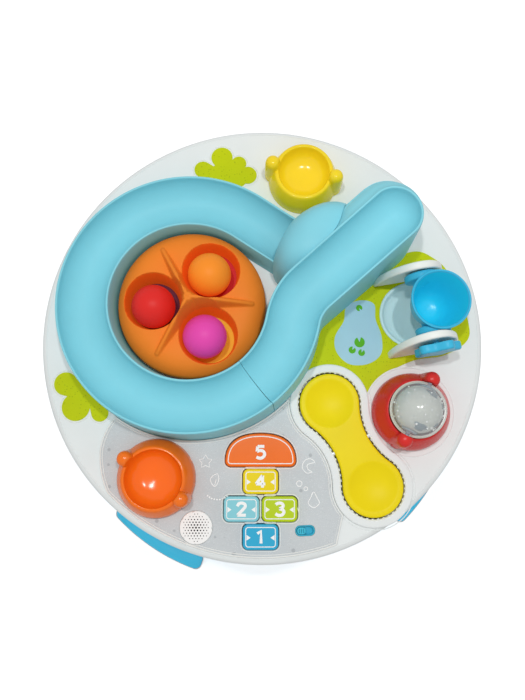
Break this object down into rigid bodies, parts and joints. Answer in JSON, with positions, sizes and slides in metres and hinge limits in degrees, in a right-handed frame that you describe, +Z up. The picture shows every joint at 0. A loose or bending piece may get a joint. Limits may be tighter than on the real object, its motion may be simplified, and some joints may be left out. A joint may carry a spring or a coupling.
{
  "type": "baby activity table",
  "caption": "Round play table on splayed legs with a ball run, turning sorter, bowls, rattle, tipping cup, seesaw and a music panel with press buttons.",
  "frame": {"origin": "on the floor under the middle of the table's bounding box, which is the middle of the round top", "axes": "+Z up; -Y towards the side with the music panel and its buttons; +X to the right seen from that side"},
  "size_m": [0.6434, 0.6434, 0.493],
  "materials": {
    "shell_white": "satin moulded",
    "panel_grey": "printed, fine glitter",
    "black": "moulded",
    "board_green": "solder mask",
    "mat_dark": "matt",
    "steel": "drawn",
    "cell": "wrapped cell",
    "track_blue": "satin moulded",
    "hood_blue": "satin moulded",
    "lime": "printed, fine dots",
    "pond": "printed",
    "sorter_orange": "satin moulded",
    "pad_red": "moulded",
    "pad_purple": "moulded",
    "cup_yellow": "glossy moulded",
    "well_blue": "satin moulded",
    "cup_red": "glossy moulded",
    "cup_orange": "glossy moulded",
    "key_blue": "glossy",
    "lead_red": "insulated wire",
    "leg_blue": "satin moulded",
    "rubber_grey": "matt",
    "ball_orange": "satin moulded",
    "ball_red": "satin moulded",
    "ball_pink": "satin moulded",
    "cup_blue": "glossy moulded",
    "clear": "clear moulded",
    "silver": "metallised",
    "key_teal": "glossy",
    "key_lime": "glossy",
    "key_yellow": "glossy",
    "key_orange": "glossy"
  },
  "bodies": {
    "table": {"top_shell": "shell_white", "bottom_shell": "shell_white", "music_panel": "panel_grey", "speaker_grille": "shell_white", "speaker_driver": "black", "circuit_board": "board_green", "button_mat": "mat_dark", "battery_box": "shell_white", "battery_door": "shell_white", "battery_door_screw": "steel", "battery_1": "cell", "battery_2": "cell", "battery_3": "cell", "upper_track": "track_blue", "lower_track": "track_blue", "tunnel_hood": "hood_blue", "grass_inlay": "lime", "pond_inlay": "pond", "bush_inlay_rear": "lime", "bush_inlay_left": "lime", "sorter_base": "sorter_orange", "sorter_pad_1": "pad_red", "sorter_pad_2": "pad_purple", "sorter_pad_3": "cup_yellow", "sorter_pin": "steel", "swing_fin_front": "shell_white", "swing_fin_rear": "shell_white", "swing_well": "well_blue", "seesaw_bezel": "shell_white", "seesaw_pin": "steel", "rattle_cup": "cup_red", "rattle_axle": "steel", "yellow_bowl": "cup_yellow", "orange_bowl": "cup_orange", "switch_seat": "key_blue", "speaker_lead": "lead_red", "battery_lead": "lead_red", "leg_1": "leg_blue", "leg_2": "leg_blue", "leg_3": "leg_blue", "leg_4": "leg_blue", "foot_pad_1": "rubber_grey", "foot_pad_2": "rubber_grey", "foot_pad_3": "rubber_grey", "foot_pad_4": "rubber_grey"},
    "sorter": {"sorter_carousel": "sorter_orange"},
    "orange_ball": {"ball_orange": "ball_orange"},
    "red_ball": {"ball_red": "ball_red"},
    "pink_ball": {"ball_pink": "ball_pink"},
    "seesaw": {"seesaw": "cup_yellow"},
    "tipping_cup": {"swing_cup": "cup_blue", "swing_knob": "cup_blue"},
    "rattle": {"rattle_ball": "clear", "rattle_core": "silver"},
    "switch": {"power_switch": "key_blue"},
    "key_1": {"button_1": "key_blue"},
    "key_2": {"button_2": "key_teal"},
    "key_3": {"button_3": "key_lime"},
    "key_4": {"button_4": "key_yellow"},
    "key_5": {"button_5": "key_orange"}
  },
  "joints": [
    {"name": "sorter_spin", "type": "hinge", "parent": "table", "child": "sorter", "pos_m": [-0.078, 0.0325, 0.405], "axis": [0, 0, 1], "continuous": true},
    {"name": "orange_ball_lift", "type": "slide", "parent": "sorter", "child": "orange_ball", "axis": [0, 0, 1], "range_m": [0, 0.12]},
    {"name": "red_ball_lift", "type": "slide", "parent": "sorter", "child": "red_ball", "axis": [0, 0, 1], "range_m": [0, 0.12]},
    {"name": "pink_ball_lift", "type": "slide", "parent": "sorter", "child": "pink_ball", "axis": [0, 0, 1], "range_m": [0, 0.12]},
    {"name": "seesaw_tilt", "type": "hinge", "parent": "table", "child": "seesaw", "pos_m": [0.0976, -0.1211, 0.396], "axis": [0.8918, 0.4524, 0], "range_deg": [-7, 7]},
    {"name": "cup_turn", "type": "hinge", "parent": "table", "child": "tipping_cup", "pos_m": [0.17641, 0.02587, 0.443], "axis": [-0.1736, 0.9848, 0], "continuous": true},
    {"name": "rattle_spin", "type": "hinge", "parent": "table", "child": "rattle", "pos_m": [0.16375, -0.085, 0.437], "axis": [0.4399, 0.898, 0], "continuous": true},
    {"name": "button_1_press", "type": "slide", "parent": "table", "child": "key_1", "axis": [0, 0, -1], "range_m": [0, 0.0019], "stiffness_N_per_m": 900},
    {"name": "button_2_press", "type": "slide", "parent": "table", "child": "key_2", "axis": [0, 0, -1], "range_m": [0, 0.0019], "stiffness_N_per_m": 900},
    {"name": "button_3_press", "type": "slide", "parent": "table", "child": "key_3", "axis": [0, 0, -1], "range_m": [0, 0.0019], "stiffness_N_per_m": 900},
    {"name": "button_4_press", "type": "slide", "parent": "table", "child": "key_4", "axis": [0, 0, -1], "range_m": [0, 0.0019], "stiffness_N_per_m": 900},
    {"name": "button_5_press", "type": "slide", "parent": "table", "child": "key_5", "axis": [0, 0, -1], "range_m": [0, 0.0019], "stiffness_N_per_m": 900},
    {"name": "power_slide", "type": "slide", "parent": "table", "child": "switch", "axis": [0.999, 0.0454, 0], "range_m": [0, 0.008]}
  ]
}
